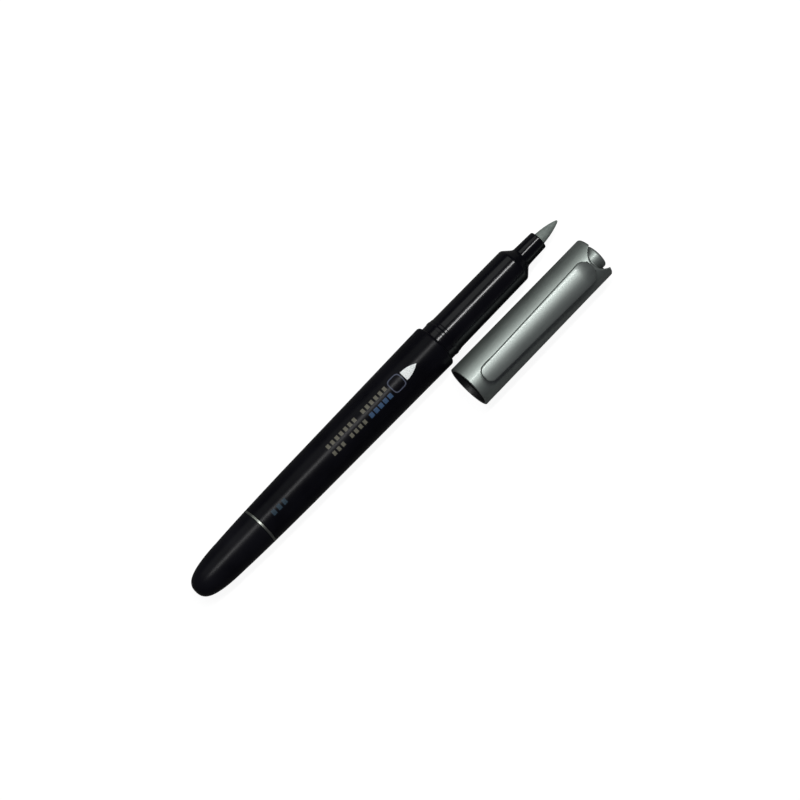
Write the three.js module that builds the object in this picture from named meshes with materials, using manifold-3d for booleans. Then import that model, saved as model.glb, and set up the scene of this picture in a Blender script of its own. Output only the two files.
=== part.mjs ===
// Brush pen lying on a table with its cap pulled off and laid beside it.
// Millimetres, +Z up. The pen's axis runs along X, with the tail at -X and the brush tip at +X.
// The cap lies on the -Y side of the pen, mouth towards the tail, clip uppermost.

import * as THREE from "three";
import { mergeVertices } from "three/addons/utils/BufferGeometryUtils.js";
import Module from "manifold-3d";

const wasm = await Module();
wasm.setup();

// ---- driving dimensions ----------------------------------------------------------------------

const SEGMENTS = 32; // facets round every turned piece
const PRESS_GAP = 0.04; // radial gap left between pieces that are pressed together

// stations along the pen, measured from the end of the tail
const DOME_END = 13.1;
const RING_START = 23.2;
const RING_END = 23.9;
const BARREL_FLAT_START = 38; // from here to its front edge the barrel is a straight cone
const BARREL_END = 89.3;
const RIB_START = 91.25; // the rib that the cap's bead clicks over
const RIB_END = 91.95;
const GRIP_START = 94.1;
const GRIP_END = 117.8;
const NECK_START = 121.7;
const NECK_END = 127.8;
const TIP_END = 134.8;

// outside radii of the pen
const DOME_RADIUS = 5.07;
const BARREL_RADIUS = 6.38;
const UNDERCUT_RADIUS = 5.38;
const SNAP_RADIUS = 5.5;
const GRIP_REAR_RADIUS = 5.18;
const GRIP_FRONT_RADIUS = 5.04;
const NECK_REAR_RADIUS = 2.85;
const NECK_FRONT_RADIUS = 2.62;
const TIP_RADIUS = 1.75;

// inside the pen
const BARREL_BORE = 4.62;
const PLUG_BORE = 3.6;
const PLUG_BORE_START = 6; // ahead of it the bore is rounded to the dome's wall
const DOME_WALL = 2;
const SPIGOT_LENGTH = 7.8;
const SOCKET_LENGTH = 12.6; // how far the front section reaches into the barrel
const SOCKET_BORE = 5.04;
const RESERVOIR_RADIUS = 4.3;
const RESERVOIR_END = 88;
const FILM_WALL = 0.1;
const WICK_RADIUS = 1.2;
const WICK_START = 72;
const HOLDER_START = 96;
const HOLDER_END = 116;
const HOLDER_RADIUS = 3.5;
const HOLDER_WAIST = 2.7;
const SHANK_START = 100;
const SHANK_RADIUS = 1.6;
const NECK_BORE = 1.86;
const TIP_PIVOT = NECK_END - 0.2; // the soft tip bends about this point

// cap, measured from its mouth towards its closed end
const CAP_X = 87.3; // where the mouth lies along the pen
const CAP_OFFSET = 13.6; // distance between the two axes
const CAP_ROLL = 9; // degrees that the clip leans away from the pen
const CAP_MOUTH_RADIUS = 6.38;
const CAP_END_RADIUS = 6.2;
const CAP_BORE = 5.56;
const CAP_END_BORE = 5.3;
const BEAD_RADIUS = 5.43; // the snap bead in the mouth
const BEAD_START = 1.2;
const BEAD_END = 1.5;
const EAR_END = 47.9;
const EAR_ROUNDING = 1.2;
const CAP_LENGTH = 48.8; // to the top of the crown's button
const SCALLOP_RADIUS = 4;
const SCALLOP_APEX = 44.8;
const LINER_START = 32;
const LINER_BORE = 3.1;
const LINER_RADIUS = 3.95;
const LINER_LIP = 2.97; // the seal's inside radius
const LINER_FLOOR = 46.2;
const CROWN_SEAT = 44.65;
const BUTTON_RADIUS = 3.4;

// clip, in the cap's own frame
const CLIP_TIP = 3.1;
const CLIP_ROOT = 44.2;
const CLIP_TIP_HALF_WIDTH = 2.42;
const CLIP_ROOT_HALF_WIDTH = 3.34;
const CLIP_TOP = 8.5; // height of its back above the cap's axis
const CLIP_THICKNESS = 1.05;
const CLIP_SHOULDER = 39.4; // where the back starts to fall to the root
const CLIP_CLEARANCE = 0.16;
const CLIP_PAD = 6.3; // middle of the pad that grips a pocket's edge
const CLIP_PAD_LENGTH = 1.6;
const FOOT_X = 43;
const FOOT_Z = 5.9;
const FOOT_RADIUS = 0.8;
const FOOT_HALF_WIDTH = 1.6;
const SLOT_GAP = 0.25;

// ---- materials -------------------------------------------------------------------------------

const finish = (color, roughness, metalness = 0) =>
  new THREE.MeshStandardMaterial({ color, roughness, metalness });

const blackGloss = finish(0x0c0c10, 0.18);
const greyMetallic = finish(0x8f9690, 0.3, 0.75);
const silver = finish(0xc8cdc2, 0.25, 0.6);
const whiteMoulded = finish(0xe6e6e2, 0.5);
const feltGrey = finish(0x737d78, 0.9);
const fibreWhite = finish(0xdcdcd6, 0.95);
const filmClear = finish(0xcfd6da, 0.2);

// ---- solids ----------------------------------------------------------------------------------

// A closed mesh as a manifold-3d solid.
function solidOf(geometry) {
  const bare = geometry.index ? geometry.toNonIndexed() : geometry.clone();
  bare.deleteAttribute("normal");
  bare.deleteAttribute("uv");
  const merged = mergeVertices(bare, 1e-4);
  return new wasm.Manifold(
    new wasm.Mesh({
      numProp: 3,
      vertProperties: merged.attributes.position.array,
      triVerts: new Uint32Array(merged.index.array),
    }),
  );
}

// A manifold-3d solid as geometry.
function geometryOf(solid) {
  const mesh = solid.getMesh();
  const geometry = new THREE.BufferGeometry();
  const points = Float32Array.from(mesh.vertProperties);
  geometry.setAttribute("position", new THREE.BufferAttribute(points, 3));
  geometry.setIndex(new THREE.BufferAttribute(mesh.triVerts, 1));
  geometry.computeVertexNormals();
  return geometry;
}

// Turns a profile of [x, radius] points about the X axis. The profile starts and ends on the
// axis, or is a loop that ends where it starts, and has the material on its right.
function turned(profile) {
  const points = profile.map(([x, radius]) => new THREE.Vector2(Math.max(radius, 0), x));
  return new THREE.LatheGeometry(points, SEGMENTS).rotateZ(-Math.PI / 2);
}

// A ring-shaped profile from an outer and an inner line, both given from -X to +X.
function ringProfile(outer, inner) {
  return [...outer, ...[...inner].reverse(), outer[0]];
}

// Points along a curve as [x, radius] pairs.
function along(curve, steps) {
  return curve.getPoints(steps).map((p) => [p.x, p.y]);
}

// A rounded corner from start to end. The two straight sides would meet at the control point.
function corner(start, control, end, steps = 4) {
  const [a, b, c] = [start, control, end].map(([x, radius]) => new THREE.Vector2(x, radius));
  return along(new THREE.QuadraticBezierCurve(a, b, c), steps);
}

function mesh(name, geometry, material) {
  const made = new THREE.Mesh(geometry, material);
  made.name = name;
  return made;
}

// ---- the pen's outline -----------------------------------------------------------------------

const domeCurve = new THREE.CubicBezierCurve(
  new THREE.Vector2(0, 0),
  new THREE.Vector2(0, 2.67),
  new THREE.Vector2(1.25, 4.78),
  new THREE.Vector2(DOME_END, DOME_RADIUS),
);

// The barrel and the front of the tail plug follow one gentle swelling curve.
const SWELL = { x: 27.9, radius: 5.92, end: 88.6 };

function bodyRadius(x) {
  const a = DOME_END - 2 * SWELL.x + SWELL.end;
  const b = 2 * (SWELL.x - DOME_END);
  const t = (-b + Math.sqrt(b * b - 4 * a * (DOME_END - x))) / (2 * a);
  return (1 - t) ** 2 * DOME_RADIUS + 2 * t * (1 - t) * SWELL.radius + t ** 2 * BARREL_RADIUS;
}

function bodyLine(start, end, steps) {
  const stations = Array.from({ length: steps + 1 }, (_, i) => start + ((end - start) * i) / steps);
  return stations.map((x) => [x, bodyRadius(x)]);
}

// ---- pen pieces ------------------------------------------------------------------------------

function tailPlug() {
  const spigot = BARREL_BORE - PRESS_GAP;
  const spigotEnd = RING_START + SPIGOT_LENGTH;
  const outside = [
    ...along(domeCurve, 10),
    ...bodyLine(DOME_END, RING_START, 4).slice(1),
    [RING_START, spigot],
    [spigotEnd - 0.5, spigot],
    [spigotEnd, spigot - 0.4],
  ];
  const inside = [
    [spigotEnd, PLUG_BORE],
    ...corner([PLUG_BORE_START, PLUG_BORE], [DOME_WALL + 0.2, 3.4], [DOME_WALL, 0]),
  ];
  return turned([...outside, ...inside]);
}

function tailRing() {
  const proud = bodyRadius(RING_START) + 0.03;
  const inner = BARREL_BORE;
  return turned(
    ringProfile(
      [[RING_START + 0.02, proud - 0.08], [RING_START + 0.12, proud], [RING_END - 0.12, proud],
        [RING_END - 0.02, proud - 0.08]],
      [[RING_START + 0.02, inner], [RING_END - 0.02, inner]],
    ),
  );
}

function barrel() {
  const round = 0.8;
  const top = bodyRadius(BARREL_END - round);
  const socketStart = BARREL_END - SOCKET_LENGTH;
  const outer = [
    [RING_END, bodyRadius(RING_END) - 0.15],
    ...bodyLine(RING_END + 0.15, BARREL_FLAT_START, 3),
    [BARREL_END - round, top],
    ...corner([BARREL_END - round, top], [BARREL_END, top], [BARREL_END, top - round]).slice(1),
  ];
  const inner = [
    [RING_END, BARREL_BORE],
    [socketStart - 0.6, BARREL_BORE],
    [socketStart, SOCKET_BORE],
    [BARREL_END, SOCKET_BORE],
  ];
  return turned(ringProfile(outer, inner));
}

// The grip, its snap rib for the cap, the chamfered nose and the neck are one moulding.
function frontSection() {
  const spigot = SOCKET_BORE - PRESS_GAP;
  const rear = BARREL_END - SOCKET_LENGTH + 0.3;
  const shoulder = BARREL_END + 0.02;
  const outer = [
    [rear, spigot - 0.3],
    [rear + 0.4, spigot],
    [shoulder, spigot],
    [shoulder, UNDERCUT_RADIUS],
    [RIB_START - 0.35, UNDERCUT_RADIUS],
    [RIB_START, SNAP_RADIUS],
    [RIB_END, SNAP_RADIUS],
    [RIB_END + 0.35, 5.34],
    [92.95, 5.3],
    [93.2, 5.22],
    [GRIP_START, GRIP_REAR_RADIUS],
    ...corner([GRIP_END, GRIP_FRONT_RADIUS], [118.35, 5.03], [118.6, 4.82], 3),
    ...corner([120.75, 3.16], [121.05, 2.92], [NECK_START, NECK_REAR_RADIUS], 3),
    [124.5, 2.74],
    ...corner([NECK_END - 0.6, NECK_FRONT_RADIUS], [NECK_END - 0.05, 2.6], [NECK_END, 2.3], 3),
  ];
  const inner = [
    [rear, RESERVOIR_RADIUS + 0.1],
    [RESERVOIR_END + 0.6, RESERVOIR_RADIUS + 0.1],
    [RESERVOIR_END + 1.4, HOLDER_RADIUS + PRESS_GAP],
    [HOLDER_END + 0.2, HOLDER_RADIUS + PRESS_GAP],
    [118.4, NECK_BORE],
    [NECK_END, NECK_BORE],
  ];
  return turned(ringProfile(outer, inner));
}

// Grips the nib's shank and carries the wick to it, with grooves that let air past.
function nibHolder() {
  const bore = SHANK_RADIUS + PRESS_GAP;
  const tube = solidOf(
    turned(
      ringProfile(
        [[HOLDER_START, HOLDER_RADIUS - 0.3], [HOLDER_START + 0.4, HOLDER_RADIUS],
          [HOLDER_START + 3, HOLDER_RADIUS], [HOLDER_START + 3.5, HOLDER_WAIST],
          [HOLDER_END - 4, HOLDER_WAIST],
          [HOLDER_END - 3.5, HOLDER_RADIUS], [HOLDER_END, HOLDER_RADIUS]],
        [[HOLDER_START, WICK_RADIUS + PRESS_GAP], [SHANK_START - 0.2, WICK_RADIUS + PRESS_GAP],
          [SHANK_START - 0.1, bore], [HOLDER_END, bore]],
      ),
    ),
  );
  const grooves = [0, 1, 2, 3].map((i) => {
    const length = HOLDER_END - HOLDER_START + 2;
    const box = new THREE.BoxGeometry(length, 0.7, 1.2);
    box.translate((HOLDER_START + HOLDER_END) / 2, 0, HOLDER_RADIUS);
    return solidOf(box.rotateX((i * Math.PI) / 2));
  });
  return geometryOf(grooves.reduce((body, groove) => body.subtract(groove), tube));
}

function nibShank() {
  const end = TIP_PIVOT - TIP_RADIUS - 0.15;
  return turned([
    [SHANK_START, 0],
    [SHANK_START, SHANK_RADIUS - 0.3],
    [SHANK_START + 0.3, SHANK_RADIUS],
    [end, SHANK_RADIUS],
    [end, 0],
  ]);
}

// The soft felt point. Its rear end is a ball about the point that it bends around.
function brushTip() {
  const ball = Array.from({ length: 7 }, (_, i) => {
    const angle = (i / 6) * (Math.PI / 2);
    return [TIP_PIVOT - (TIP_RADIUS - 0.02) * Math.cos(angle), (TIP_RADIUS - 0.02) * Math.sin(angle)];
  });
  const cone = new THREE.CubicBezierCurve(
    new THREE.Vector2(TIP_PIVOT + 0.2, TIP_RADIUS),
    new THREE.Vector2(TIP_PIVOT + 2.1, 1.58),
    new THREE.Vector2(TIP_PIVOT + 4.6, 1.2),
    new THREE.Vector2(TIP_END - 0.3, 0.34),
  );
  return turned([
    ...ball,
    ...along(cone, 8),
    [TIP_END - 0.06, 0.2],
    [TIP_END, 0],
  ]);
}

function feedWick() {
  const end = SHANK_START - 0.05;
  return turned([[WICK_START, 0], [WICK_START, WICK_RADIUS], [end, WICK_RADIUS], [end, 0]]);
}

function reservoirCore() {
  const start = RING_START + SPIGOT_LENGTH + 0.3;
  const radius = RESERVOIR_RADIUS - FILM_WALL - 0.02;
  const hole = WICK_RADIUS + 0.02;
  return turned([
    [start, 0],
    [start, radius],
    [RESERVOIR_END, radius],
    [RESERVOIR_END, hole],
    [WICK_START - 0.1, hole],
    [WICK_START - 0.1, 0],
  ]);
}

function reservoirFilm() {
  const start = RING_START + SPIGOT_LENGTH + 0.3;
  return turned(
    ringProfile(
      [[start, RESERVOIR_RADIUS], [RESERVOIR_END, RESERVOIR_RADIUS]],
      [[start, RESERVOIR_RADIUS - FILM_WALL], [RESERVOIR_END, RESERVOIR_RADIUS - FILM_WALL]],
    ),
  );
}

// ---- cap pieces ------------------------------------------------------------------------------

function capRadius(x) {
  return CAP_MOUTH_RADIUS + (CAP_END_RADIUS - CAP_MOUTH_RADIUS) * Math.min(x / 40, 1);
}

// The shell has a snap bead in its mouth, a slot for the clip's foot, and a round scallop
// in its end on the clip's side and on the opposite side.
function capShell() {
  const rim = 0.18;
  const outer = [
    [0, capRadius(0) - rim],
    [rim, capRadius(0)],
    [10, capRadius(10)],
    [20, capRadius(20)],
    [30, capRadius(30)],
    [40, capRadius(40)],
    ...corner([EAR_END - EAR_ROUNDING, CAP_END_RADIUS], [EAR_END, CAP_END_RADIUS], [EAR_END, 5.5]),
  ];
  const inner = [
    [0, CAP_BORE + 0.12],
    [0.5, CAP_BORE],
    [BEAD_START - 0.2, CAP_BORE],
    [BEAD_START, BEAD_RADIUS],
    [BEAD_END, BEAD_RADIUS],
    [BEAD_END + 0.2, CAP_BORE],
    [26, 5.42],
    [40, CAP_END_BORE],
    [EAR_END, CAP_END_BORE],
  ];
  const shell = solidOf(turned(ringProfile(outer, inner)));
  const slotLength = 2 * (FOOT_RADIUS + SLOT_GAP);
  const slot = new THREE.BoxGeometry(slotLength, 2 * (FOOT_HALF_WIDTH + SLOT_GAP), 3);
  slot.translate(FOOT_X, 0, FOOT_Z);
  const scallop = new THREE.CylinderGeometry(SCALLOP_RADIUS, SCALLOP_RADIUS, 20, 24);
  scallop.rotateX(Math.PI / 2).translate(SCALLOP_APEX + SCALLOP_RADIUS, 0, 0);
  return geometryOf(shell.subtract(solidOf(slot)).subtract(solidOf(scallop)));
}

// Seals round the neck, so that the tip doesn't dry. Its rear flange is notched to let air past.
function innerCap() {
  const flange = CROWN_SEAT - 0.6;
  const cup = solidOf(
    turned([
      [LINER_START, 3.3],
      [LINER_START, 3.65],
      [LINER_START + 0.8, LINER_RADIUS],
      [flange, LINER_RADIUS],
      [flange, 5.15],
      [CROWN_SEAT - 0.1, 5.15],
      [CROWN_SEAT - 0.1, 2.35],
      [LINER_FLOOR + 0.4, 2.1],
      [LINER_FLOOR + 0.7, 1.4],
      [LINER_FLOOR + 0.7, 0],
      [LINER_FLOOR, 0],
      [LINER_FLOOR - 0.3, 1.3],
      [LINER_FLOOR - 1.9, 1.8],
      [LINER_FLOOR - 2.8, LINER_BORE],
      [LINER_START + 1.2, LINER_BORE],
      [LINER_START + 1, LINER_LIP],
      [LINER_START + 0.5, LINER_LIP],
      [LINER_START, 3.3],
    ]),
  );
  return geometryOf(airNotches(cup, flange + 0.2, 4.75));
}

// Closes the cap's end, and shows as a low domed button between the ears.
function capCrown() {
  const flangeEnd = CROWN_SEAT + 0.6;
  const cup = solidOf(
    turned([
      [CROWN_SEAT, 2.5],
      [CROWN_SEAT, 5.2],
      [flangeEnd, 5.2],
      ...corner([flangeEnd, BUTTON_RADIUS + 0.25], [flangeEnd, BUTTON_RADIUS],
        [flangeEnd + 0.25, BUTTON_RADIUS], 2),
      [47.7, BUTTON_RADIUS],
      [48.1, 3.24],
      [48.38, 2.8],
      [48.62, 1.9],
      [48.76, 0.9],
      [CAP_LENGTH, 0],
      [48, 0],
      [47.9, 2.1],
      [47.5, 2.5],
      [CROWN_SEAT, 2.5],
    ]),
  );
  return geometryOf(airNotches(cup, CROWN_SEAT, 4.75));
}

// Cuts a notch into both sides of a flange, beside the ears.
function airNotches(body, x, radius) {
  return [1, -1].reduce((cut, side) => {
    const box = new THREE.BoxGeometry(3, 1.6, 2).translate(x, 0, 0);
    return cut.subtract(solidOf(box.translate(0, side * (radius + 0.8), 0)));
  }, body);
}

// ---- clip ------------------------------------------------------------------------------------

// Half the clip's width at x: a long taper with round ends.
function clipHalfWidth(x) {
  const share = (x - CLIP_TIP) / (CLIP_ROOT - CLIP_TIP);
  const straight = CLIP_TIP_HALF_WIDTH + (CLIP_ROOT_HALF_WIDTH - CLIP_TIP_HALF_WIDTH) * share;
  const fromEnd = (distance, radius) =>
    distance < radius ? Math.sqrt(radius ** 2 - (radius - distance) ** 2) / radius : 1;
  const roundTip = fromEnd(x - CLIP_TIP, 2.1);
  const roundRoot = fromEnd(CLIP_ROOT - x, 3.2);
  return straight * Math.max(Math.min(roundTip, roundRoot), 0.12);
}

// Height of the clip's back and of its underside above the cap's axis.
function clipBack(x) {
  const rise = THREE.MathUtils.smoothstep(x, CLIP_TIP - 6, CLIP_TIP + 9);
  const fall = Math.max((x - CLIP_SHOULDER) / (CLIP_ROOT - CLIP_SHOULDER), 0);
  const root = capRadius(CLIP_ROOT) + CLIP_CLEARANCE + 0.2;
  return CLIP_TOP - 0.5 * (1 - rise) - (CLIP_TOP - root) * fall ** 1.8;
}

function clipUnderside(x) {
  const surface = capRadius(x) + CLIP_CLEARANCE;
  const pad = Math.exp(-(((x - CLIP_PAD) / CLIP_PAD_LENGTH) ** 2));
  const open = clipBack(x) - CLIP_THICKNESS;
  const padded = THREE.MathUtils.lerp(open, surface, pad);
  return Math.min(Math.max(padded, surface), clipBack(x) - 0.2);
}

// The blade is a loft of crescent sections concentric with the cap.
function clip() {
  const stations = 32;
  const across = 6;
  const rings = Array.from({ length: stations + 1 }, (_, i) => {
    const share = (1 - Math.cos((Math.PI * i) / stations)) / 2; // closer together at both ends
    const x = CLIP_TIP + (CLIP_ROOT - CLIP_TIP) * share;
    const half = clipHalfWidth(x);
    const arc = (radius, j) => {
      const y = half * (1 - (2 * j) / across);
      return [x, y, Math.sqrt(radius ** 2 - y ** 2)];
    };
    const steps = Array.from({ length: across + 1 }, (_, j) => j);
    const back = steps.map((j) => arc(clipBack(x), j));
    const under = steps.map((j) => arc(clipUnderside(x), across - j));
    return [...back, ...under];
  });
  const blade = solidOf(loft(rings));
  const foot = new THREE.CylinderGeometry(FOOT_RADIUS, FOOT_RADIUS, 2 * FOOT_HALF_WIDTH, 16);
  foot.translate(FOOT_X, 0, FOOT_Z);
  return geometryOf(blade.add(solidOf(foot)));
}

// Joins rings of equal length into one closed skin, with flat ends.
function loft(rings) {
  const count = rings[0].length;
  const index = [];
  for (let i = 0; i < rings.length - 1; i++) {
    for (let j = 0; j < count; j++) {
      const a = i * count + j;
      const b = i * count + ((j + 1) % count);
      index.push(a, b, b + count, a, b + count, a + count);
    }
  }
  const last = (rings.length - 1) * count;
  for (let j = 0; j < count / 2 - 1; j++) {
    const [a, b, c, d] = [j, j + 1, count - 2 - j, count - 1 - j];
    index.push(a, c, b, a, d, c);
    index.push(last + a, last + b, last + c, last + a, last + c, last + d);
  }
  const geometry = new THREE.BufferGeometry();
  geometry.setAttribute("position", new THREE.Float32BufferAttribute(rings.flat(2), 3));
  geometry.setIndex(index);
  return geometry;
}

// ---- assembly --------------------------------------------------------------------------------

function penGroup() {
  const pen = new THREE.Group();
  pen.add(
    mesh("tail_plug", tailPlug(), blackGloss),
    mesh("tail_ring", tailRing(), silver),
    mesh("barrel", barrel(), blackGloss),
    mesh("front_section", frontSection(), blackGloss),
    mesh("nib_holder", nibHolder(), whiteMoulded),
    mesh("nib_shank", nibShank(), feltGrey),
    mesh("brush_tip", brushTip(), feltGrey),
    mesh("feed_wick", feedWick(), fibreWhite),
    mesh("reservoir_core", reservoirCore(), fibreWhite),
    mesh("reservoir_film", reservoirFilm(), filmClear),
  );
  pen.position.z = BARREL_RADIUS;
  return pen;
}

function capGroup() {
  const cap = new THREE.Group();
  cap.add(
    mesh("cap_shell", capShell(), greyMetallic),
    mesh("inner_cap", innerCap(), whiteMoulded),
    mesh("cap_crown", capCrown(), greyMetallic),
    mesh("clip", clip(), greyMetallic),
  );
  cap.position.set(CAP_X, -CAP_OFFSET, CAP_MOUTH_RADIUS);
  cap.rotation.x = THREE.MathUtils.degToRad(CAP_ROLL);
  return cap;
}

const brushPen = new THREE.Group();
brushPen.add(penGroup(), capGroup());

// The origin is under the middle of the whole object, on the table.
const box = new THREE.Box3().setFromObject(brushPen, true);
const middle = box.getCenter(new THREE.Vector3());
brushPen.position.set(-middle.x, -middle.y, -box.min.z);

export default brushPen;
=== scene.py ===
# %% [markdown]
# # A felt brush pen with its cap off
# The pen lies on a white table and its cap lies beside it. This notebook puts the smooth, finished
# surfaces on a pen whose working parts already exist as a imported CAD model. Every part is turned
# plastic, apart from the clip, so most pieces are a profile spun about the pen's axis.

from math import atan2, cos, exp, pi, radians, sin, sqrt

import bpy
from mathutils import Matrix, Vector


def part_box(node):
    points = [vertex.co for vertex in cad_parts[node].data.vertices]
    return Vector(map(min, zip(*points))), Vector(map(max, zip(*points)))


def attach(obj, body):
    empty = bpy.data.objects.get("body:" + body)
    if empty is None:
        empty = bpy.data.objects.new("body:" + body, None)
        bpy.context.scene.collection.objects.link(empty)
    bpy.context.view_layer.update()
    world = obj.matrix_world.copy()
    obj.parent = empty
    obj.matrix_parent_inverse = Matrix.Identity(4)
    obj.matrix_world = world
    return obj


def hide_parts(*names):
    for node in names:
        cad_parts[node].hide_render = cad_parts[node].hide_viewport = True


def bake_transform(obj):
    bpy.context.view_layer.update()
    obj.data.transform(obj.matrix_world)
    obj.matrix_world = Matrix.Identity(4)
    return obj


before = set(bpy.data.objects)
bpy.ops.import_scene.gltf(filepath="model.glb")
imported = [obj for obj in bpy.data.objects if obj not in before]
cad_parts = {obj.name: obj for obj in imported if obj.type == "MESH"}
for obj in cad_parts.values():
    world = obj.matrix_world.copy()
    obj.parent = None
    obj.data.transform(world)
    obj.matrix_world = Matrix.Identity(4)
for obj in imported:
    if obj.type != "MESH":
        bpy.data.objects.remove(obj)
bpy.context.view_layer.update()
scene = bpy.context.scene

# %% [markdown]
# ## Where things are
# The pen's axis runs along X and the cap's axis is parallel to it. Both are found from the boxes of
# the CAD pieces, so nothing here has to be fitted by eye. A drawing of a pen is read in
# millimetres, so the stations and radii below are too, and MM turns them into metres.

# %% The two axes
MM = 0.001


def axis_of(node):
    """The middle of a round node's box, as (lowest x, y, z)."""
    low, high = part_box(node)
    return Vector((low.x, (low.y + high.y) / 2, (low.z + high.z) / 2))


pen_start = axis_of("tail_plug")
cap_start = axis_of("cap_shell")
cap_roll = radians(9)  # the clip leans away from the pen by this
print("pen axis", pen_start, "cap axis", cap_start)

# %% [markdown]
# ## Turning a profile
# Pens are moulded, and a mould is turned on a lathe, so a spun profile is the natural way to make
# them. The profile is drawn as a string of edges: one vertex is extruded from point to point. Its
# corners are then rounded with the bevel operator, because no moulded edge is perfectly sharp, and
# the string is spun about the axis. Spinning a drawn profile keeps every ring of the surface even,
# which a subdivided cylinder with loops pushed in would not.

# %% Small helpers for edit mode
def deselect_everything():
    if bpy.context.object and bpy.context.object.mode == "EDIT":
        bpy.ops.object.mode_set(mode="OBJECT")
    bpy.ops.object.select_all(action="DESELECT")


def choose_vertices(piece, wanted):
    """Selects the vertices for which wanted(position) is true. Leaves the piece in edit mode."""
    bpy.ops.object.mode_set(mode="EDIT")
    bpy.ops.mesh.select_mode(type="VERT")
    bpy.ops.mesh.select_all(action="DESELECT")
    bpy.ops.object.mode_set(mode="OBJECT")
    for vertex in piece.data.vertices:
        vertex.select = wanted(vertex.co)
    bpy.ops.object.mode_set(mode="EDIT")


def apply_modifier(piece, kind, **settings):
    modifier = piece.modifiers.new(kind.title(), kind)
    for key, value in settings.items():
        setattr(modifier, key, value)
    bpy.ops.object.modifier_apply(modifier=modifier.name)


def finish_piece(piece, body, replaced=(), smooth_angle=40):
    """Smooths a finished mesh, moves its place into the mesh, and hangs it on its CAD body."""
    deselect_everything()
    piece.select_set(True)
    bpy.context.view_layer.objects.active = piece
    bpy.ops.object.transform_apply(location=True, rotation=True, scale=True)
    bpy.ops.object.shade_smooth_by_angle(angle=radians(smooth_angle))
    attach(piece, body)
    if replaced:
        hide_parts(*replaced)
    print(piece.name, "has", len(piece.data.polygons), "faces")
    return piece


# %% The lathe
SPIN_STEPS = 128
WELD = 1e-6  # vertices closer than this are one


def turn(name, start, profile, steps=SPIN_STEPS):
    """Spins a profile about the X axis through start. Each point is (station, radius) or
    (station, radius, rounding), in millimetres from start. A profile that doesn't touch the
    axis at both ends is a closed loop."""
    points = [Vector((start.x + p[0] * MM, start.y, start.z + p[1] * MM)) for p in profile]
    deselect_everything()
    bpy.ops.mesh.primitive_plane_add(size=MM, location=points[0])
    piece = bpy.context.object
    piece.name = name
    bpy.ops.object.transform_apply(location=True, rotation=True, scale=True)
    bpy.ops.object.mode_set(mode="EDIT")
    bpy.ops.mesh.select_all(action="SELECT")
    bpy.ops.mesh.merge(type="CENTER")
    closed = profile[0][1] > 0
    for here, there in zip(points, points[1:] + points[:1] * closed):
        bpy.ops.mesh.extrude_region_move(TRANSFORM_OT_translate={"value": there - here})
    bpy.ops.mesh.select_all(action="SELECT")
    bpy.ops.mesh.remove_doubles(threshold=WELD)
    round_corners(piece, points, profile)
    bpy.ops.mesh.select_all(action="SELECT")
    bpy.ops.mesh.spin(steps=steps, angle=2 * pi, center=start, axis=(1, 0, 0))
    bpy.ops.mesh.select_all(action="SELECT")
    bpy.ops.mesh.remove_doubles(threshold=WELD)
    bpy.ops.mesh.normals_make_consistent(inside=False)
    bpy.ops.object.mode_set(mode="OBJECT")
    return piece


def round_corners(piece, points, profile):
    """Bevels the drawn corners, all of one rounding at a time."""
    for rounding in sorted({p[2] for p in profile if len(p) > 2}):
        corners = [v for v, p in zip(points, profile) if len(p) > 2 and p[2] == rounding]
        choose_vertices(piece, lambda co: any((co - c).length < WELD * 3 for c in corners))
        bpy.ops.mesh.bevel(offset=rounding * MM, segments=5, affect="VERTICES")


# %% [markdown]
# ## The long outline
# Plug and barrel share one long, slow curve that runs over the ring between them. It is kept as one
# formula that both profiles ask, and not as two lists of points, so that the pieces stay flush.

# %% Curves for the profiles
def bezier(points, steps):
    """Points along a Bezier curve through its first and last control points."""
    found = []
    for i in range(steps + 1):
        level, t = [Vector(p) for p in points], i / steps
        while len(level) > 1:
            level = [a.lerp(b, t) for a, b in zip(level, level[1:])]
        found.append(tuple(level[0]))
    return found


DOME_END = 13.1
SWELL = [(DOME_END, 5.07), (27.9, 5.92), (88.6, 6.38)]  # the long outline of plug and barrel
RING_START, RING_END = 23.2, 23.9
BARREL_END = 89.3


def swell_radius(station):
    """The radius of the pen's long outline at a station."""
    (x0, r0), (x1, r1), (x2, r2) = SWELL
    a, b = x0 - 2 * x1 + x2, 2 * (x1 - x0)
    t = (-b + sqrt(b * b - 4 * a * (x0 - station))) / (2 * a)
    return (1 - t) ** 2 * r0 + 2 * t * (1 - t) * r1 + t * t * r2


def swell_line(first, last, steps):
    stations = [first + (last - first) * i / steps for i in range(steps + 1)]
    return [(x, swell_radius(x)) for x in stations]


print("the barrel is", round(2 * swell_radius(BARREL_END - 1), 2), "mm across at its front")

# %% [markdown]
# ## Shader maths
# A material that only has one colour looks like a drawing. The finishes below are worked out from
# noise and from the place on the piece, and the sums are written as plain Python: a Value wraps a
# socket, and an expression on Values adds the Math nodes. A Recipe holds one material.

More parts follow.
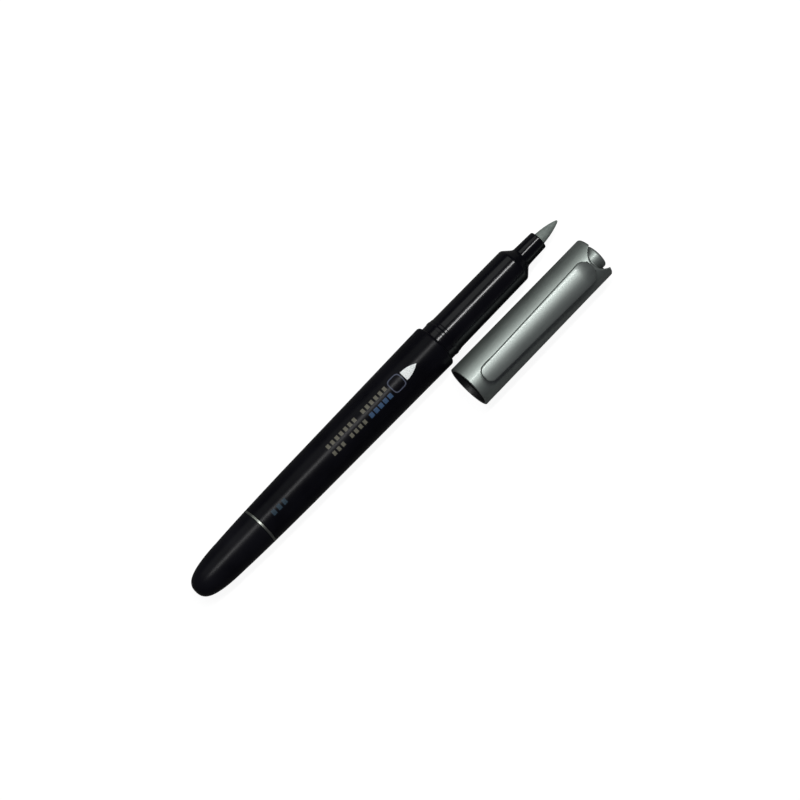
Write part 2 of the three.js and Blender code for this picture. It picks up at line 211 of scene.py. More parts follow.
# %% Value
class Value:
    """A number that changes over a surface."""

    def __init__(self, recipe, socket):
        self.recipe, self.socket = recipe, socket

    def math(self, operation, *others):
        inputs = dict(enumerate((self, *others)))
        return self.recipe.node("ShaderNodeMath", {"operation": operation}, inputs)

    def __add__(self, other): return self.math("ADD", other)
    def __radd__(self, other): return self.math("ADD", other)
    def __sub__(self, other): return self.math("SUBTRACT", other)
    def __rsub__(self, other): return self.math("MULTIPLY", -1).math("ADD", other)
    def __mul__(self, other): return self.math("MULTIPLY", other)
    def __rmul__(self, other): return self.math("MULTIPLY", other)
    def __truediv__(self, other): return self.math("DIVIDE", other)
    def __pow__(self, other): return self.math("POWER", other)
    def __abs__(self): return self.math("ABSOLUTE")
    def min(self, other): return self.math("MINIMUM", other)
    def max(self, other): return self.math("MAXIMUM", other)
    def floor(self): return self.math("FLOOR")
    def fraction(self): return self.math("FRACT")
    def hypot(self, other): return (self * self + other * other).math("SQRT")

    def inside(self, edge, softness):
        """1 where the value is under edge, falling to 0 over softness."""
        return ((edge - self) / softness + 0.5).max(0).min(1)


# %% Recipe
class Recipe:
    """One material and its nodes."""

    def __init__(self, name, **constants):
        self.material = bpy.data.materials.new(name)
        self.material.use_nodes = True
        self.tree = self.material.node_tree
        self.shader = self.tree.nodes["Principled BSDF"]
        for key, value in constants.items():
            self.shader.inputs[key.replace("_", " ").title().replace("Ior", "IOR")].default_value = value

    def node(self, kind, settings=None, inputs=None, output=0):
        """Adds a node. The settings are made first, then its sockets are fed."""
        node = self.tree.nodes.new(kind)
        for key, value in (settings or {}).items():
            setattr(node, key, value)
        for key, value in (inputs or {}).items():
            self.feed(node.inputs[key], value)
        return Value(self, node.outputs[output])

    def feed(self, socket, value):
        if isinstance(value, Value):
            self.tree.links.new(value.socket, socket)
        else:
            socket.default_value = value

    def place(self):
        """The place on the object, in metres."""
        return self.node("ShaderNodeTexCoord", output="Object")

    def xyz(self, vector):
        split = self.node("ShaderNodeSeparateXYZ", inputs={0: vector})
        return [Value(self, split.socket.node.outputs[i]) for i in range(3)]

    def stretched(self, scale):
        """The place on the object times a scale along each axis."""
        settings = {"operation": "MULTIPLY"}
        return self.node("ShaderNodeVectorMath", settings, {0: self.place(), 1: scale})

    def noise(self, vector, scale, detail=3.0, roughness=0.5):
        inputs = {"Vector": vector, "Scale": scale, "Detail": detail, "Roughness": roughness}
        return self.node("ShaderNodeTexNoise", inputs=inputs)

    def blend(self, share, first, second):
        """A colour between two colours."""
        inputs = {0: share, 6: first, 7: second}
        return self.node("ShaderNodeMix", {"data_type": "RGBA"}, inputs, output=2)

    def bump(self, height, distance, strength=1.0, under=None):
        inputs = {"Height": height, "Distance": distance, "Strength": strength}
        if under:
            inputs["Normal"] = under
        return self.node("ShaderNodeBump", inputs=inputs)

    def surface(self, **values):
        """Feeds the shader's sockets, such as Base_Color or Roughness."""
        for key, value in values.items():
            self.feed(self.shader.inputs[key.replace("_", " ")], value)
        return self.material


# %% [markdown]
# ## Glossy black plastic
# The barrel, the grip and the tail are moulded in black and polished by the mould. Black gloss is
# nearly all reflection, so its look comes from what breaks the reflection: a faint waviness left
# by the mould, hair-fine scratches along the pen, and the duller smears that fingers leave.

# %% Black gloss
def black_gloss(name, colour, base_roughness, gloss):
    recipe = Recipe(name, specular_ior_level=gloss, ior=1.5)
    along = recipe.stretched((60, 900, 900))
    scratches = recipe.noise(along, 14.0, detail=6.0, roughness=0.65)
    smears = recipe.noise(recipe.place(), 110.0, detail=4.0)
    waviness = recipe.noise(recipe.place(), 260.0, detail=1.0)
    grain = recipe.noise(recipe.place(), 9000.0, detail=1.0)
    lighter = tuple(c * 1.7 + 0.0012 for c in colour[:3]) + (1,)
    tint = recipe.blend((smears * 2 - 0.6).max(0).min(1), colour, lighter)
    roughness = base_roughness + smears * 0.08 + (scratches - 0.5).max(0) * 0.4 + grain * 0.02
    height = waviness * 0.5 + scratches * 0.03 + grain * 0.02
    normal = recipe.bump(height, 0.000006, 0.5)
    return recipe, tint, roughness, normal


def plain_black(name, colour, base_roughness, gloss):
    recipe, tint, roughness, normal = black_gloss(name, colour, base_roughness, gloss)
    return recipe.surface(Base_Color=tint, Roughness=roughness, Normal=normal)


section_black = plain_black("section_black", (0.0016, 0.0016, 0.0026, 1), 0.1, 0.27)
tail_black = plain_black("tail_black", (0.0034, 0.0034, 0.005, 1), 0.26, 0.08)
print("black finishes", section_black.name, tail_black.name)

# %% [markdown]
# ## The printed marks
# A pad print sits on the barrel's upper side. It is ink, a few hundredths of a millimetre thick, so
# it is a change of colour and roughness and not a shape. The marks here are plain ones: a white
# leaf, a blue rounded frame, two rows of little blocks, and three dim ones near the tail. Each mark is
# a mask worked out from the distance along and across the barrel.

# %% Marks on the barrel
PRINT_EDGE = 0.00005
OFF_WHITE = (0.125, 0.12, 0.095, 1)
LEAF_WHITE = (0.84, 0.87, 0.86, 1)
FRAME_BLUE = (0.075, 0.085, 0.12, 1)
BLOCK_BLUE = (0.042, 0.08, 0.15, 1)
DASH_BLUE = (0.024, 0.042, 0.06, 1)

# Stations are from the tail and lines are from the axis, in millimetres.
LEAF_START, LEAF_LENGTH = 76.4, 4.7
LEAF_HALF_WIDTH, LEAF_LINE = 1.34, 0.35
FRAME_MIDDLE, FRAME_LINE = 73.9, 0.4
FRAME_HALF_WIDTH, FRAME_STROKE = 1.95, 0.28
ROWS_START = 49.0
BLOCK_PITCH, BLOCK_SIZE = 1.6, (1.0, 1.15)
UPPER_LINE, LOWER_LINE = 1.62, -0.72
BLUE_START, BLUE_PITCH, BLUE_SIZE = 62.7, 1.7, (1.25, 1.3)
DASH_START, DASH_PITCH, DASH_SIZE, DASH_LINE = 27.1, 1.9, (1.2, 1.5), -0.1


def block_row(along, across, first, count, pitch, size, line, gaps=()):
    """A row of little blocks. Along and across are in metres from the tail and the axis."""
    step = (along - first * MM) / (pitch * MM)
    u = abs(step.fraction() - 0.5) * (pitch * MM)
    v = abs(across - line * MM)
    row = u.inside(size[0] / 2 * MM, PRINT_EDGE) * v.inside(size[1] / 2 * MM, PRINT_EDGE)
    middle = (first + count * pitch / 2) * MM
    row = row * abs(along - middle).inside(count * pitch / 2 * MM, PRINT_EDGE)
    for gap in gaps:
        hidden = abs(step.floor() - gap).inside(0.5, 0.01)
        row = row * (1 - hidden)
    return row


def leaf_mask(along, across):
    """A leaf with a flat end towards the tail and a point towards the tip."""
    share = ((along - LEAF_START * MM) / (LEAF_LENGTH * MM)).max(0)
    half_width = (1 - share ** 2.2) * (LEAF_HALF_WIDTH * MM)
    leaf = (abs(across - LEAF_LINE * MM) - half_width).inside(0, PRINT_EDGE)
    return leaf * (LEAF_START * MM - along).inside(0, PRINT_EDGE)


def frame_mask(along, across):
    """The outline of a square with well rounded corners: the sum of the fourth powers is constant."""
    along_squared = (along - FRAME_MIDDLE * MM) ** 2
    across_squared = (across - FRAME_LINE * MM) ** 2
    from_middle = along_squared.hypot(across_squared).math("SQRT")
    return abs(from_middle - FRAME_HALF_WIDTH * MM).inside(FRAME_STROKE / 2 * MM, PRINT_EDGE)


# %% Barrel finish
def barrel_material():
    recipe, tint, roughness, normal = black_gloss("barrel_black", (0.0022, 0.0022, 0.0034, 1), 0.22, 0.07)
    x, y, z = recipe.xyz(recipe.place())
    along, across = x - pen_start.x, y - pen_start.y
    top = (pen_start.z - z).inside(0, PRINT_EDGE)
    leaf = leaf_mask(along, across)
    outline = frame_mask(along, across)
    upper = block_row(along, across, ROWS_START, 14, BLOCK_PITCH, BLOCK_SIZE, UPPER_LINE, gaps=(7,))
    lower = block_row(along, across, ROWS_START, 8, BLOCK_PITCH, BLOCK_SIZE, LOWER_LINE, gaps=(3,))
    blue = block_row(along, across, BLUE_START, 5, BLUE_PITCH, BLUE_SIZE, LOWER_LINE)
    dashes = block_row(along, across, DASH_START, 3, DASH_PITCH, DASH_SIZE, DASH_LINE)
    worn = recipe.noise(recipe.place(), 3500.0, detail=3.0)
    cover = (worn * 1.5 + 0.2).min(1) * top
    for mask, ink in (
        (upper.max(lower), OFF_WHITE), (blue, BLOCK_BLUE), (dashes, DASH_BLUE),
        (outline, FRAME_BLUE), (leaf, LEAF_WHITE),
    ):
        tint = recipe.blend(mask * cover, tint, ink)
    printed = upper.max(lower).max(blue).max(outline).max(leaf).max(dashes) * top
    roughness = roughness * (1 - printed) + printed * 0.38
    normal = recipe.bump(printed, 0.00001, 0.8, under=normal)
    return recipe.surface(Base_Color=tint, Roughness=roughness, Normal=normal)


barrel_black = barrel_material()
print(barrel_black.name, "has", len(barrel_black.node_tree.nodes), "nodes")

# %% [markdown]
# ## Gunmetal lacquer
# Cap, crown and clip are plastic under a metallic lacquer: tiny aluminium flakes lie nearly flat in
# a clear coat. The flakes make it behave as a slightly rough metal, and seen closely they glitter,
# so the colour and the roughness vary from flake to flake. The clear coat gives a second, sharper
# gloss over it.

# %% Lacquer
def lacquer(name, colour, roughness):
    recipe = Recipe(name, coat_roughness=0.12, coat_ior=1.45)
    flakes = recipe.node("ShaderNodeTexVoronoi", inputs={"Vector": recipe.place(), "Scale": 7000.0})
    clouds = recipe.noise(recipe.place(), 160.0, detail=3.0)
    flow = recipe.noise(recipe.stretched((45, 420, 420)), 1.0, detail=4.0)
    grain = recipe.noise(recipe.place(), 5200.0, detail=2.0)
    darker = tuple(c * 0.8 for c in colour[:3]) + (1,)
    brighter = tuple(min(c * 1.12, 1) for c in colour[:3]) + (1,)
    shade = (flow * 0.7 + clouds * 0.3 + flakes * 0.25 - 0.15).max(0).min(1)
    return recipe.surface(
        Base_Color=recipe.blend(shade, darker, brighter),
        Metallic=0.86 + grain * 0.08,
        Roughness=roughness + clouds * 0.07 + flakes * 0.05 + (flow - 0.5) * 0.08,
        Coat_Weight=0.15 + clouds * 0.1,
        Normal=recipe.bump(grain * 0.6 + flow * 0.5, 0.000006, 0.5),
    )


cap_grey = lacquer("cap_grey", (0.29, 0.325, 0.305, 1), 0.45)
clip_grey = lacquer("clip_grey", (0.30, 0.333, 0.315, 1), 0.43)
print("lacquers", cap_grey.name, clip_grey.name)

# %% [markdown]
# ## The other finishes
# The cap is black plastic inside, where no lacquer reaches. The tail ring is metallised plastic,
# brushed round by its own turning. The felt is a rod of bonded fibres that run along the pen, grey
# with ink. The hidden pieces are plain white mouldings, a fibre core and a clear film, and they get
# their own finishes too, because a cutaway would show them.

# %% Inside of the cap, ring, felt
def cap_inside_material():
    recipe = Recipe("cap_inside")
    grain = recipe.noise(recipe.place(), 2500.0, detail=4.0)
    tint = recipe.blend(grain, (0.006, 0.006, 0.007, 1), (0.016, 0.016, 0.019, 1))
    return recipe.surface(
        Base_Color=tint, Roughness=0.34 + grain * 0.2, Normal=recipe.bump(grain, 0.00001, 0.5)
    )


def ring_material():
    recipe = Recipe("ring_silver")
    brushed = recipe.noise(recipe.stretched((14000, 300, 300)), 1.0, detail=3.0)
    tint = recipe.blend(brushed, (0.15, 0.16, 0.145, 1), (0.27, 0.285, 0.255, 1))
    return recipe.surface(
        Base_Color=tint, Metallic=0.88 + brushed * 0.1, Roughness=0.3 + brushed * 0.12,
        Normal=recipe.bump(brushed, 0.000004, 0.5),
    )


def felt_material():
    recipe = Recipe("felt_grey")
    fibres = recipe.noise(recipe.stretched((500, 6500, 6500)), 1.0, detail=5.0, roughness=0.7)
    fuzz = recipe.noise(recipe.place(), 9000.0, detail=3.0)
    stain = recipe.noise(recipe.place(), 700.0, detail=3.0)
    tint = recipe.blend(
        (fibres * 1.3 + stain * 0.5 - 0.35).max(0).min(1),
        (0.055, 0.066, 0.062, 1), (0.25, 0.29, 0.265, 1),
    )
    return recipe.surface(
        Base_Color=tint, Roughness=0.7 + fuzz * 0.25,
        Normal=recipe.bump(fibres * 0.7 + fuzz * 0.3, 0.00004, 0.9),
    )


cap_inside = cap_inside_material()
ring_silver = ring_material()
felt_grey = felt_material()
print("finishes", cap_inside.name, ring_silver.name, felt_grey.name)


# %% Hidden pieces
def speckled(name, dark, light, scale, roughness, height, stretch=(1, 1, 1)):
    """A plain finish whose colour, gloss and surface all follow one grain."""
    recipe = Recipe(name)
    grain = recipe.noise(recipe.stretched(stretch), scale, detail=4.0)
    return recipe.surface(
        Base_Color=recipe.blend(grain, dark, light), Roughness=roughness + grain * 0.15,
        Normal=recipe.bump(grain, height, 0.6),
    )


moulded_white = speckled(
    "moulded_white", (0.66, 0.66, 0.62, 1), (0.82, 0.82, 0.79, 1), 900.0, 0.4, 0.00002)
fibre_white = speckled(
    "fibre_white", (0.5, 0.5, 0.47, 1), (0.8, 0.8, 0.76, 1), 5000.0, 0.8, 0.00006, (0.06, 1, 1))
film_clear = speckled(
    "film_clear", (0.5, 0.56, 0.6, 1), (0.68, 0.73, 0.76, 1), 300.0, 0.15, 0.00002)


def paint(piece, material):
    piece.data.materials.clear()
    piece.data.materials.append(material)


HIDDEN = {
    "nib_holder": moulded_white, "feed_wick": fibre_white,
    "reservoir_core": fibre_white, "reservoir_film": film_clear,
}
for node, material in HIDDEN.items():
    paint(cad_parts[node], material)
print("hidden pieces painted:", ", ".join(HIDDEN))

# %% [markdown]
# ## Tail plug and ring
# The plug is a deep hollow moulding with a domed end. Its spigot goes into the barrel, and the thin
# silver ring is caught between the two. Both are spun. The dome is one Bezier curve, because a dome
# made of arcs shows a line where they meet under a glossy finish.

# %% Tail plug
PRESS_GAP = 0.04
BARREL_BORE = 4.62
SPIGOT_END = RING_START + 7.8
PLUG_BORE, PLUG_BORE_START = 3.6, 6
DOME_WALL = 2

plug_spigot = BARREL_BORE - PRESS_GAP
tail_plug = turn("tail_plug_shell", pen_start, [
    *bezier([(0, 0), (0, 2.67), (1.25, 4.78), (DOME_END, 5.07)], 26),
    *swell_line(DOME_END, RING_START - 0.6, 5)[1:],
    (RING_START, swell_radius(RING_START), 0.12),
    (RING_START, plug_spigot),
    (SPIGOT_END, plug_spigot, 0.3),
    (SPIGOT_END, PLUG_BORE, 0.2),
    (PLUG_BORE_START, PLUG_BORE),
    *bezier([(PLUG_BORE_START, PLUG_BORE), (2.2, 3.4), (DOME_WALL, 0)], 8)[1:],
])
paint(tail_plug, tail_black)
finish_piece(tail_plug, "pen", ["tail_plug"])

# %% Tail ring
proud = swell_radius(RING_START) + 0.03
tail_ring = turn("tail_ring_band", pen_start, [
    (RING_START + 0.02, proud, 0.1), (RING_END - 0.02, proud, 0.1),
    (RING_END - 0.02, BARREL_BORE), (RING_START + 0.02, BARREL_BORE),
])
paint(tail_ring, ring_silver)
finish_piece(tail_ring, "pen", ["tail_ring"])

# %% [markdown]
# ## Barrel
# The barrel swells slowly to its front, where its edge is well rounded: that edge is the stop that
# the cap comes up against, and fingers pass over it.

# %% Barrel
SOCKET_START = BARREL_END - 12.6
SOCKET_BORE = 5.04
BARREL_FLAT_START = 38

barrel = turn("barrel_tube", pen_start, [
    (RING_END, swell_radius(RING_END), 0.12),
    *swell_line(RING_END + 0.8, BARREL_FLAT_START, 6),
    (BARREL_END, swell_radius(BARREL_END - 0.8), 0.8),
    (BARREL_END, SOCKET_BORE, 0.05),
    (SOCKET_START, SOCKET_BORE),
    (SOCKET_START - 0.6, BARREL_BORE),
    (RING_END, BARREL_BORE),
])
paint(barrel, barrel_black)
finish_piece(barrel, "pen", ["barrel"])

# %% [markdown]
# ## Front section
# Grip, nose and neck are one moulding. Behind the grip are an undercut and a rib: the bead in the
# cap's mouth clicks over the rib. Each edge gets its own rounding.

# %% Front section
UNDERCUT_RADIUS = 5.38
SNAP_RADIUS = 5.5
NECK_END = 127.8
NECK_BORE = 1.86
HOLDER_END = 116
RIB_START, RIB_END = 91.3, 91.95
NOSE_START, NOSE_END = 118.5, 120.95
SECTION_BORE = 3.54
SPIGOT_BORE = 4.4  # wider at the back, round the reservoir

section_spigot = SOCKET_BORE - PRESS_GAP
shoulder = BARREL_END + 0.02
front_section = turn("front_section_shell", pen_start, [
    (SOCKET_START + 0.3, section_spigot, 0.3),
    (shoulder, section_spigot),
    (shoulder, UNDERCUT_RADIUS, 0.1),
    (91.0, UNDERCUT_RADIUS, 0.06),
    (RIB_START, SNAP_RADIUS, 0.12),
    (RIB_END, SNAP_RADIUS, 0.12),
    (92.3, 5.33, 0.08),
    (93.0, 5.31, 0.12),
    (93.2, 5.22, 0.06),
    (94.1, 5.18),
    (105.0, 5.12),
    (NOSE_START, 5.035, 0.45),
    (NOSE_END, 2.89, 0.45),
    (122.4, 2.8),
    (124.8, 2.73),
    (NECK_END, 2.62, 0.32),
    (NECK_END, NECK_BORE, 0.06),
    (118.4, NECK_BORE),
    (HOLDER_END + 0.2, SECTION_BORE),
    (89.4, SECTION_BORE),
    (88.6, SPIGOT_BORE),
    (SOCKET_START + 0.3, SPIGOT_BORE),
])
paint(front_section, section_black)
finish_piece(front_section, "pen", ["front_section"])

# %% [markdown]
# ## Felt point
# The felt is ground to a long, slightly bulging cone with a blunt end. It is one rod that goes
# back through the neck, so one piece stands for both CAD solids.

# %% Felt point
TIP_PIVOT = NECK_END - 0.2
TIP_END = 134.8

felt = turn("felt_point", pen_start, [
    (100, 0),
    (100, 1.6, 0.2),
    (TIP_PIVOT - 2, 1.6),
    (TIP_PIVOT - 1.4, 1.73),
    *bezier([(TIP_PIVOT - 0.6, 1.75), (TIP_PIVOT + 2.1, 1.6), (TIP_PIVOT + 4.6, 1.22),
             (TIP_END - 0.32, 0.36)], 24),
    *bezier([(TIP_END - 0.32, 0.36), (TIP_END - 0.04, 0.24), (TIP_END, 0)], 5)[1:],
], steps=64)
paint(felt, felt_grey)
deselect_everything()
felt.select_set(True)
bpy.context.view_layer.objects.active = felt
bpy.ops.object.shade_smooth_by_angle(angle=radians(40))
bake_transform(felt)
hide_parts("nib_shank", "brush_tip")
print("felt point", len(felt.data.polygons), "faces")

# %% [markdown]
# ## Cap shell
# The cap is a thin tube. Its closed end is scooped out on the clip's side and on the side opposite,
# which leaves two ears. The tube is spun first. Then its end is pushed back along the tube, most at the
# middle of each scoop, and the edge moves as one, so the moulded rounding is kept all the way
# along it. A boolean cut would leave that edge sharp. The tube is spun upright, so it is rolled at
# the end to lean the clip away from the pen.

# %% Cap shell
CAP_MOUTH_RADIUS, CAP_END_RADIUS = 6.38, 6.2
CAP_BORE = 5.56
CAP_END_BORE = 5.3
CAP_TAPER_END = 40
BEAD_RADIUS = 5.43  # the bead in the mouth that clicks over the rib
EAR_END = 47.9
EAR_EDGE = 0.8  # the rounded edge's own length
EAR_SOFTNESS = 1.6
SQUEEZE_START = 40
SCOOP_APEX = 44.8
SCOOP_RADIUS = 4
FOOT_X, FOOT_Z = 43, 5.9
FOOT_RADIUS = 0.8


def cap_radius(station):
    return CAP_MOUTH_RADIUS + (CAP_END_RADIUS - CAP_MOUTH_RADIUS) * min(station / CAP_TAPER_END, 1)


def roll_with_cap(piece):
    """Turns a piece that was made upright about the cap's axis."""
    piece.data.transform(
        Matrix.Translation(cap_start) @ Matrix.Rotation(cap_roll, 4, "X")
        @ Matrix.Translation(-cap_start)
    )


def scoop_limit(across):
    """How far along the cap the tube reaches at this distance across, in millimetres."""
    cut = SCOOP_APEX + SCOOP_RADIUS - sqrt(max(SCOOP_RADIUS ** 2 - across ** 2, 0))
    nearly_met = max(1 - abs(cut - EAR_END) / EAR_SOFTNESS, 0)
    return min(cut, EAR_END) - nearly_met ** 2 * EAR_SOFTNESS / 4


cap_profile = [
    (0, CAP_MOUTH_RADIUS, 0.18),
    *[(x, cap_radius(x)) for x in (6, 12, 20, 30, SQUEEZE_START)],
    (EAR_END - EAR_EDGE, CAP_END_RADIUS),
    (EAR_END, CAP_END_RADIUS, 0.7),
    (EAR_END, CAP_END_BORE, 0.15),
    (EAR_END - EAR_EDGE, CAP_END_BORE),
    (SQUEEZE_START, CAP_END_BORE), (26, 5.42), (1.75, CAP_BORE, 0.1),
    (1.5, BEAD_RADIUS, 0.1), (1.2, BEAD_RADIUS, 0.1), (0.95, CAP_BORE, 0.1),
    (0, CAP_BORE + 0.04, 0.14),
]
cap_shell = turn("cap_tube", cap_start, cap_profile, steps=192)

for vertex in cap_shell.data.vertices:
    station = (vertex.co.x - cap_start.x) / MM
    short = EAR_END - scoop_limit((vertex.co.y - cap_start.y) / MM)
    share = (station - SQUEEZE_START) / (EAR_END - EAR_EDGE - SQUEEZE_START)
    vertex.co.x -= short * min(max(share, 0), 1) * MM
print("scoop reaches", SCOOP_APEX, "mm, ears", EAR_END, "mm")

# %% Slot for the clip's foot, and the black inside
def cut_box(piece, middle, size):
    """Cuts a box out of a cap piece. Both are in millimetres, from the middle of the mouth."""
    deselect_everything()
    bpy.ops.mesh.primitive_cube_add(size=MM, location=cap_start + Vector(middle) * MM)
    cutter = bpy.context.object
    bpy.ops.transform.resize(value=size)
    bpy.ops.object.transform_apply(location=True, rotation=True, scale=True)
    deselect_everything()
    piece.select_set(True)
    bpy.context.view_layer.objects.active = piece
    apply_modifier(piece, "BOOLEAN", object=cutter, operation="DIFFERENCE", solver="EXACT")
    bpy.data.objects.remove(cutter)


cut_box(cap_shell, (FOOT_X, 0, FOOT_Z), (2 * (FOOT_RADIUS + 0.25), 3.7, 3))
paint(cap_shell, cap_grey)
cap_shell.data.materials.append(cap_inside)
INSIDE_RADIUS = 5.7  # faces nearer to the axis than this belong to the bore
for face in cap_shell.data.polygons:
    middle = face.center - cap_start
    from_axis = Vector((middle.y, middle.z)).length / MM
    face.material_index = int(from_axis < INSIDE_RADIUS)
roll_with_cap(cap_shell)
finish_piece(cap_shell, "cap", ["cap_shell"], smooth_angle=35)

# %% [markdown]
# ## Crown and inner cap
# The crown closes the end and shows as a low button between the ears. The inner cap is the part
# that seals round the neck. Only its rim can be seen, deep in the mouth. Both have a flange that
# sits in the shell, and a notch in each side of it lets air past, so that a swallowed cap can
# still be breathed through. A notch is small and square, so a boolean cuts it.

# %% Crown
CROWN_SEAT = 44.65
BUTTON_RADIUS = 3.4
CAP_LENGTH = 48.8

crown = turn("crown_button", cap_start, [
    (48.1, 0), (47.9, 2.1), (47.5, 2.5), (CROWN_SEAT, 2.5, 0.1),
    (CROWN_SEAT, 5.2, 0.08),
    (CROWN_SEAT + 0.6, 5.2, 0.12),
    (CROWN_SEAT + 0.6, BUTTON_RADIUS + 0.02, 0.3),
    (48.25, BUTTON_RADIUS, 0.55),
    *bezier([(48.36, 2.75), (48.72, 1.5), (CAP_LENGTH, 0)], 8),
])


def cut_air_notches(piece, station):
    """Cuts a notch into both sides of a flange, beside the ears."""
    for side in (1, -1):
        cut_box(piece, (station, side * 5.55, 0), (3, 1.6, 2))


cut_air_notches(crown, CROWN_SEAT)
paint(crown, cap_grey)
roll_with_cap(crown)
finish_piece(crown, "cap", ["cap_crown"])

# %% Inner cap
LINER_FLOOR = 46.2
LINER_BORE, LINER_LIP = 3.1, 2.97  # the lip is what seals round the neck
LINER_OUTER = 3.95
flange_end = CROWN_SEAT - 0.1
inner_cap = turn("inner_cap_liner", cap_start, [
    (LINER_FLOOR + 0.7, 0), (LINER_FLOOR + 0.7, 1.4, 0.3), (LINER_FLOOR + 0.4, 2.1, 0.3),
    (flange_end, 2.35, 0.1), (flange_end, 5.15, 0.1), (flange_end - 0.5, 5.15, 0.1),
    (flange_end - 0.5, LINER_OUTER, 0.2), (32.8, LINER_OUTER), (32, 3.65, 0.12), (32, 3.3, 0.1),
    (32.5, LINER_LIP, 0.1), (33, LINER_LIP, 0.1), (33.2, LINER_BORE), (LINER_FLOOR - 2.8, LINER_BORE),
    (LINER_FLOOR - 1.9, 1.8), (LINER_FLOOR - 0.3, 1.3), (LINER_FLOOR, 0),
])
cut_air_notches(inner_cap, flange_end - 0.3)
paint(inner_cap, moulded_white)
roll_with_cap(inner_cap)
finish_piece(inner_cap, "cap", ["inner_cap"])

# %% [markdown]
# ## Clip
# The clip is a long tongue, wider at its root, crowned across its back and rounded at both ends. A
# ball has the right skin for it: rings along its length and one pole at each end. So a sphere is
# laid along the cap, and every ring is reshaped to the clip's section at that station: as wide and
# as thick as the clip is there, with small round edges, and curved about the cap's axis.

# %% Clip shape
CLIP_TIP, CLIP_ROOT = 3.1, 44.2
CLIP_TIP_HALF, CLIP_ROOT_HALF = 2.42, 3.34
CLIP_TOP = 8.5
CLIP_THICKNESS = 1.05
CLIP_SHOULDER = 39.4
CLIP_CLEARANCE = 0.16
CLIP_PAD = 6.3  # the middle of the pad that grips a pocket's edge
CLIP_PAD_LENGTH = 1.6
CLIP_EDGE = 0.28
CLIP_TIP_ROUND, CLIP_ROOT_ROUND = 2.1, 3.2  # how round its two ends are, seen from above


def quarter_round(distance, radius):
    """1 far from an end, and falling to 0 at it along a quarter circle."""
    return sqrt(radius ** 2 - (radius - distance) ** 2) / radius if distance < radius else 1


def clip_half_width(x):
    share = (x - CLIP_TIP) / (CLIP_ROOT - CLIP_TIP)
    straight = CLIP_TIP_HALF + (CLIP_ROOT_HALF - CLIP_TIP_HALF) * share
    return straight * min(quarter_round(x - CLIP_TIP, CLIP_TIP_ROUND),
                          quarter_round(CLIP_ROOT - x, CLIP_ROOT_ROUND))


def clip_back(x):
    """Height of the clip's back over the cap's axis."""
    t = min(max((x - CLIP_TIP + 6) / 15, 0), 1)
    rise = t * t * (3 - 2 * t)
    fall = max((x - CLIP_SHOULDER) / (CLIP_ROOT - CLIP_SHOULDER), 0)
    root = cap_radius(CLIP_ROOT) + CLIP_CLEARANCE + 0.2
    return CLIP_TOP - 0.5 * (1 - rise) - (CLIP_TOP - root) * fall ** 1.8


def clip_underside(x):
    surface = cap_radius(x) + CLIP_CLEARANCE
    pad = exp(-(((x - CLIP_PAD) / CLIP_PAD_LENGTH) ** 2))
    open_height = clip_back(x) - CLIP_THICKNESS
    padded = open_height + (surface - open_height) * pad
    return min(max(padded, surface), clip_back(x) - 0.2)


def section_point(share, half_width, half_thick):
    """A point on a rounded rectangle, by its share of the way round from the middle of one side."""
    corner = min(CLIP_EDGE, half_thick, half_width)
    quarter, along = divmod(share * 4, 1)
    if quarter % 2:
        along = 1 - along
    flat_width, flat_height = half_width - corner, half_thick - corner
    if along < 0.1:  # up the side, then round the corner, then in over the back
        y, z = half_width, flat_height * along / 0.1
    elif along < 0.45:
        turned = (along - 0.1) / 0.35 * pi / 2
        y, z = flat_width + corner * cos(turned), flat_height + corner * sin(turned)
    else:
        y, z = flat_width * (1 - along) / 0.55, half_thick
    return y * (-1 if quarter in (1, 2) else 1), z * (-1 if quarter > 1 else 1)


# %% Clip mesh
CLIP_RINGS, CLIP_SEGMENTS = 120, 80
deselect_everything()
bpy.ops.mesh.primitive_uv_sphere_add(segments=CLIP_SEGMENTS, ring_count=CLIP_RINGS, radius=1)
clip = bpy.context.object
clip.name = "clip_tongue"
for vertex in clip.data.vertices:
    ball = vertex.co.copy()
    x = CLIP_TIP + (CLIP_ROOT - CLIP_TIP) * (ball.z + 1) / 2
    end = min(quarter_round(x - CLIP_TIP, 0.45), quarter_round(CLIP_ROOT - x, 0.5))
    middle = (clip_back(x) + clip_underside(x)) / 2
    half_thick = (clip_back(x) - clip_underside(x)) / 2 * end
    turned = (atan2(ball.y, ball.x) / (2 * pi)) % 1
    y, z = section_point(turned, clip_half_width(x), half_thick)
    vertex.co = cap_start + Vector((x, y, sqrt(max((middle + z) ** 2 - y ** 2, 0)))) * MM
bpy.ops.object.mode_set(mode="EDIT")
bpy.ops.mesh.select_all(action="SELECT")
bpy.ops.mesh.remove_doubles(threshold=WELD)
bpy.ops.mesh.normals_make_consistent(inside=False)
bpy.ops.object.mode_set(mode="OBJECT")
paint(clip, clip_grey)
roll_with_cap(clip)
finish_piece(clip, "pocket_clip", ["clip"], smooth_angle=60)

# %% [markdown]
# The clip's foot goes down through the slot and is the root that the clip springs about. It is a
# short bar with rounded edges.

# %% Clip foot
deselect_everything()
bpy.ops.mesh.primitive_cylinder_add(
    vertices=48, radius=FOOT_RADIUS * MM, depth=3.2 * MM, rotation=(pi / 2, 0, 0),
    location=cap_start + Vector((FOOT_X, 0, FOOT_Z)) * MM,
)
foot = bpy.context.object
foot.name = "clip_foot"
apply_modifier(foot, "BEVEL", width=0.15 * MM, segments=3, limit_method="ANGLE")
bpy.ops.object.transform_apply(location=True, rotation=True, scale=True)
paint(foot, clip_grey)
roll_with_cap(foot)
finish_piece(foot, "pocket_clip")

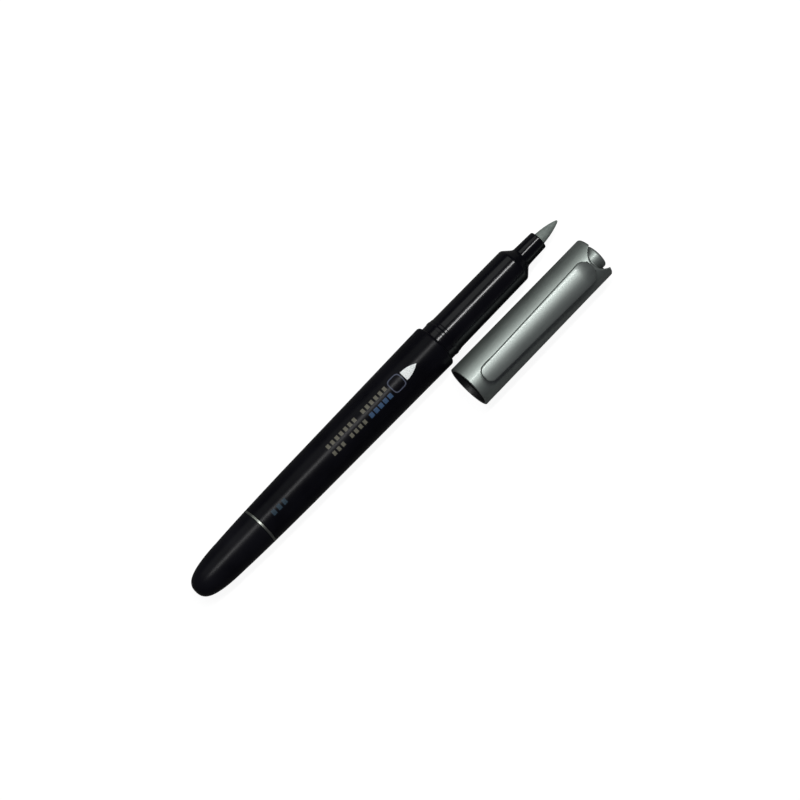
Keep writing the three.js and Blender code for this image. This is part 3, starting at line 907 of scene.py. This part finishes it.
# %% [markdown]
# ## Table, light and camera
# The table is white. Its own soft glow is only for the camera: it keeps the shadows pale, and the
# black gloss doesn't mirror it. A long lamp stands nearly overhead, a little to the far side, and
# draws the bright line along the gloss. A broad, weaker one lights the cap's far flank and leaves
# its near side dark, and a third, weaker still, keeps that side from going black.

# %% Table
deselect_everything()
bpy.ops.mesh.primitive_plane_add(size=4, location=(0, 0, -0.00005))
table = bpy.context.object
table.name = "table"
table_recipe = Recipe("table_white", specular_ior_level=0.1, emission_strength=0.93)
paper = table_recipe.noise(table_recipe.place(), 900.0, detail=3.0)
seen = table_recipe.node("ShaderNodeLightPath", output="Is Camera Ray")
paint(table, table_recipe.surface(
    Base_Color=table_recipe.blend(paper, (0.12, 0.12, 0.12, 1), (0.15, 0.15, 0.15, 1)),
    Roughness=0.8 + paper * 0.1,
    Emission_Color=seen,
))
print("table", [round(v, 2) for v in table.dimensions], "m")

# %% Camera
TILT = radians(9)  # the camera leans this far towards the tail
TURN = radians(45.82)  # the pen runs up the view at this slope
DISTANCE = 1.5
VIEW_WIDTH = 0.2058  # how much the view takes in, at the pen

back = Vector((-sin(TILT), 0, cos(TILT)))
pen_way = Vector((cos(TILT), 0, sin(TILT)))
right = cos(TURN) * pen_way - sin(TURN) * Vector((0, 1, 0))
up = sin(TURN) * pen_way + cos(TURN) * Vector((0, 1, 0))
aim = pen_start + Vector((72.35, -3.2, 0)) * MM

camera_data = bpy.data.cameras.new("camera")
camera_data.sensor_width = 36
camera_data.lens = 36 * DISTANCE / VIEW_WIDTH
camera = bpy.data.objects.new("camera", camera_data)
scene.collection.objects.link(camera)
camera.matrix_world = Matrix.Translation(aim + back * DISTANCE) @ Matrix(
    (right, up, back)).transposed().to_4x4()
scene.camera = camera
print("lens", round(camera_data.lens, 1), "mm")


# %% Lamps
def lamp(name, direction, distance, size, brightness, colour=(1, 1, 1)):
    """An area lamp that looks at the pen's middle, its length along the pen. Direction points
    from the pen to the lamp, and brightness is what the lamp's face looks like."""
    data = bpy.data.lights.new(name, "AREA")
    data.shape = "RECTANGLE"
    data.size, data.size_y = size
    data.energy = brightness * pi * size[0] * size[1]
    data.color = colour
    lamp_object = bpy.data.objects.new(name, data)
    scene.collection.objects.link(lamp_object)
    away = Vector(direction).normalized()
    over = away.cross(Vector((1, 0, 0))).normalized()
    side = over.cross(away).normalized()
    middle = Vector((0.02, 0, 0))
    lamp_object.matrix_world = Matrix.Translation(middle + away * distance) @ Matrix(
        (side, over, away)).transposed().to_4x4()


lamp("strip", (0.1, 0.25, 1), 0.9, (0.9, 0.085), 30)
lamp("broad", (0.0, 1.0, 0.8), 0.9, (0.9, 0.5), 0.95, (0.97, 1, 0.96))
lamp("near", (0.1, -1.0, 0.5), 1.1, (1.0, 0.4), 0.07, (1, 0.96, 0.98))

# %% [markdown]
# The room is bright for the camera and dark for everything else. A white room would turn up in the
# black gloss and make it grey.

# %% Room
world = bpy.data.worlds.new("room")
scene.world = world
world.use_nodes = True
room = world.node_tree
to_camera = room.nodes.new("ShaderNodeLightPath")
shade = room.nodes.new("ShaderNodeMix")
shade.data_type = "RGBA"
shade.inputs[6].default_value = (0.035, 0.034, 0.045, 1)
shade.inputs[7].default_value = (0.86, 0.87, 0.88, 1)
room.links.new(to_camera.outputs["Is Camera Ray"], shade.inputs[0])
room.links.new(shade.outputs[2], room.nodes["Background"].inputs["Color"])
scene.view_settings.view_transform = "Standard"
print("room", scene.world.name)
